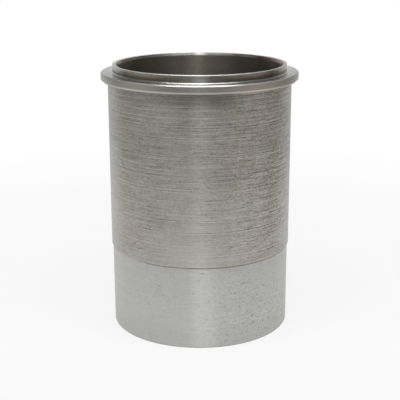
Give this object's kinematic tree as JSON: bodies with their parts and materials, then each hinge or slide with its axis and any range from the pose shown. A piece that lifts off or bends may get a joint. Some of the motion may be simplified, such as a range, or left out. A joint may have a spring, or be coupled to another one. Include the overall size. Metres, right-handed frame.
{
  "type": "cylinder liner",
  "caption": "Hollow iron cylinder liner: a long turned barrel with a seating flange and narrower collar at the top, and a smooth ground band at the foot.",
  "frame": {"origin": "centre of the foot, on the plane that the liner stands on", "axes": "+Z along the bore, from the foot up to the open rim above the flange; X and Y are free, because the part is round"},
  "size_m": [0.1502, 0.1502, 0.204],
  "materials": {
    "turned_iron": "bright turned grey iron: coarse turning marks on the barrel, fine grinding on the band at the foot, honed bore"
  },
  "bodies": {
    "root": {"cylinder_liner": "turned_iron"}
  },
  "joints": []
}
